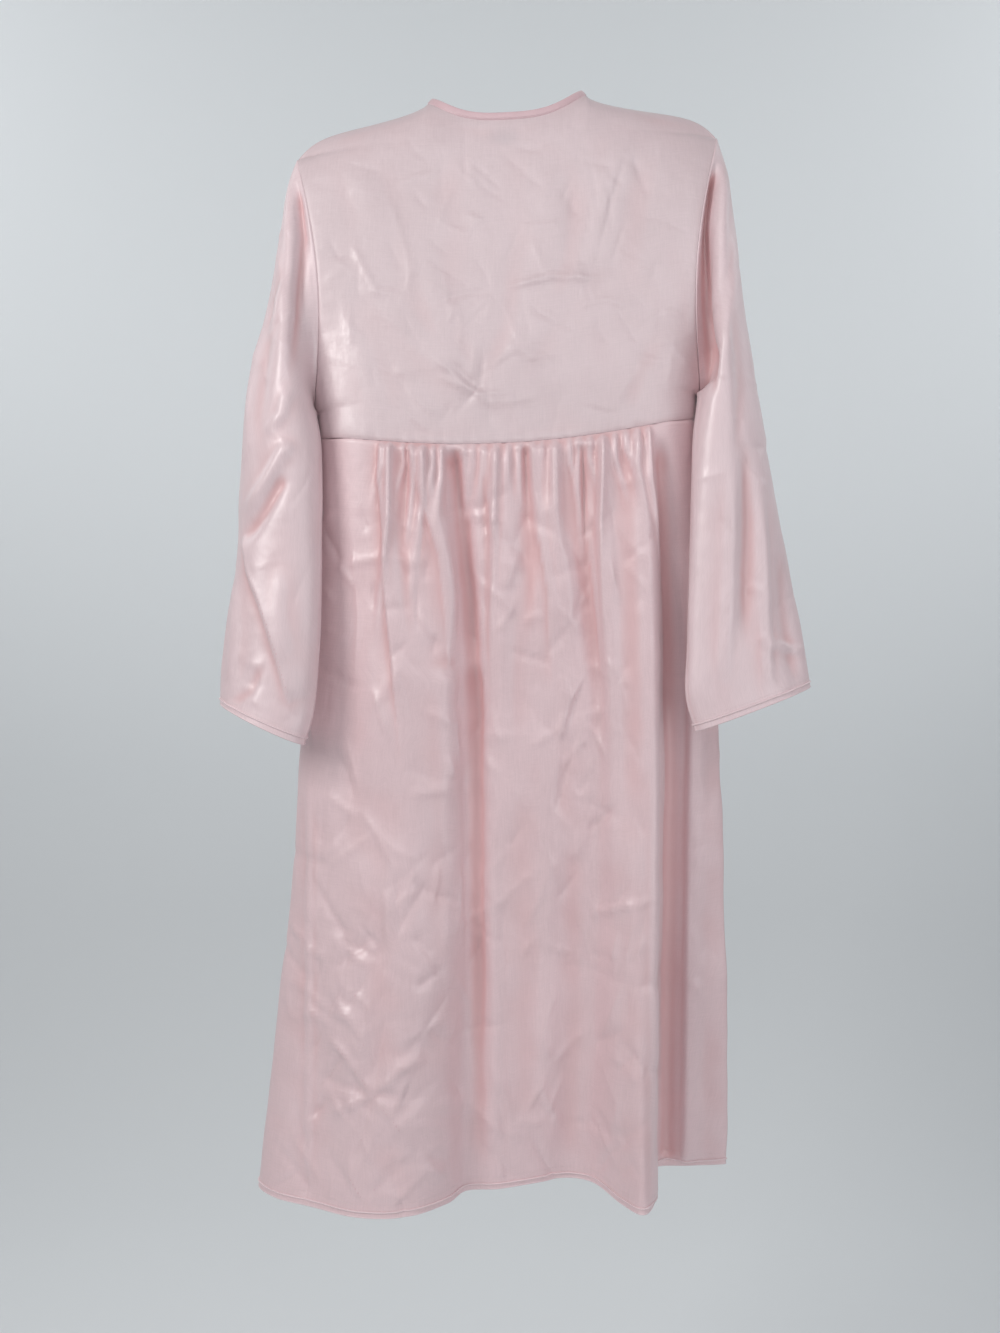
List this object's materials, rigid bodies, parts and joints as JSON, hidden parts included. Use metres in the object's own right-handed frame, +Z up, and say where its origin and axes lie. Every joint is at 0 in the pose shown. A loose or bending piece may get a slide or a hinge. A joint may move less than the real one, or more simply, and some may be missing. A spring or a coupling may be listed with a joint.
{
  "type": "patient gown",
  "caption": "Pale pink satin gown with long sleeves, a deep yoke, a gathered skirt and a full-length front opening.",
  "frame": {"origin": "midway between the two neck points of the shoulder line, where a hanger comes up through the neck", "axes": "+Z up along the gown, +Y out of its back, +X towards the wearer's left"},
  "size_m": [0.5755, 0.1634, 1.0977],
  "materials": {
    "satin": "satin weave, soft sheen",
    "inside": "dull back of the satin",
    "binding": "satin bias binding",
    "piping": "satin cord and thread",
    "button": "pearl gloss",
    "label": "blank woven tape"
  },
  "bodies": {
    "gown": {"back_yoke": "satin", "back_skirt": "satin", "front_yoke_left": "satin", "sleeve_head_left": "satin", "sleeve_bend_left": "satin", "front_yoke_right": "satin", "sleeve_head_right": "satin", "sleeve_bend_right": "satin", "back_yoke_seam": "inside", "back_hem": "inside", "front_facing_left": "inside", "front_yoke_seam_left": "inside", "shoulder_seam_left": "inside", "armhole_seam_left": "inside", "side_seam_left": "inside", "front_facing_right": "inside", "front_yoke_seam_right": "inside", "shoulder_seam_right": "inside", "armhole_seam_right": "inside", "side_seam_right": "inside", "neck_binding": "binding", "back_hem_piping": "piping", "button_shank_1": "piping", "button_loop_1": "piping", "button_shank_2": "piping", "button_loop_2": "piping", "button_shank_3": "piping", "button_loop_3": "piping", "button_shank_4": "piping", "button_loop_4": "piping", "button_1": "button", "button_2": "button", "button_3": "button", "button_4": "button", "neck_label": "label"},
    "sleeve_left": {"sleeve_left": "satin", "cuff_hem_left": "inside", "cuff_piping_left": "piping", "sleeve_seam_left": "inside"},
    "front_left": {"front_skirt_left": "satin", "front_hem_left": "inside", "front_hem_piping_left": "piping", "front_edge_hem_left": "inside"},
    "sleeve_right": {"sleeve_right": "satin", "cuff_hem_right": "inside", "cuff_piping_right": "piping", "sleeve_seam_right": "inside"},
    "front_right": {"front_skirt_right": "satin", "front_hem_right": "inside", "front_hem_piping_right": "piping", "front_edge_hem_right": "inside"}
  },
  "joints": [
    {"name": "sleeve_left_lift", "type": "hinge", "parent": "gown", "child": "sleeve_left", "pos_m": [0.1934, 0, -0.316], "axis": [0, -1, 0], "range_deg": [0, 60], "deforming": ["sleeve_bend_left"]},
    {"name": "sleeve_right_lift", "type": "hinge", "parent": "gown", "child": "sleeve_right", "pos_m": [-0.1934, 0, -0.296], "axis": [0, 1, 0], "range_deg": [0, 60], "deforming": ["sleeve_bend_right"]},
    {"name": "front_left_swing", "type": "hinge", "parent": "gown", "child": "front_left", "pos_m": [0.1915, -0.001, -0.342], "axis": [-0.0448, 0.0685, 0.9966], "range_deg": [0, 45]},
    {"name": "front_right_swing", "type": "hinge", "parent": "gown", "child": "front_right", "pos_m": [-0.1915, -0.001, -0.322], "axis": [-0.0257, -0.0873, -0.9959], "range_deg": [0, 45]}
  ]
}
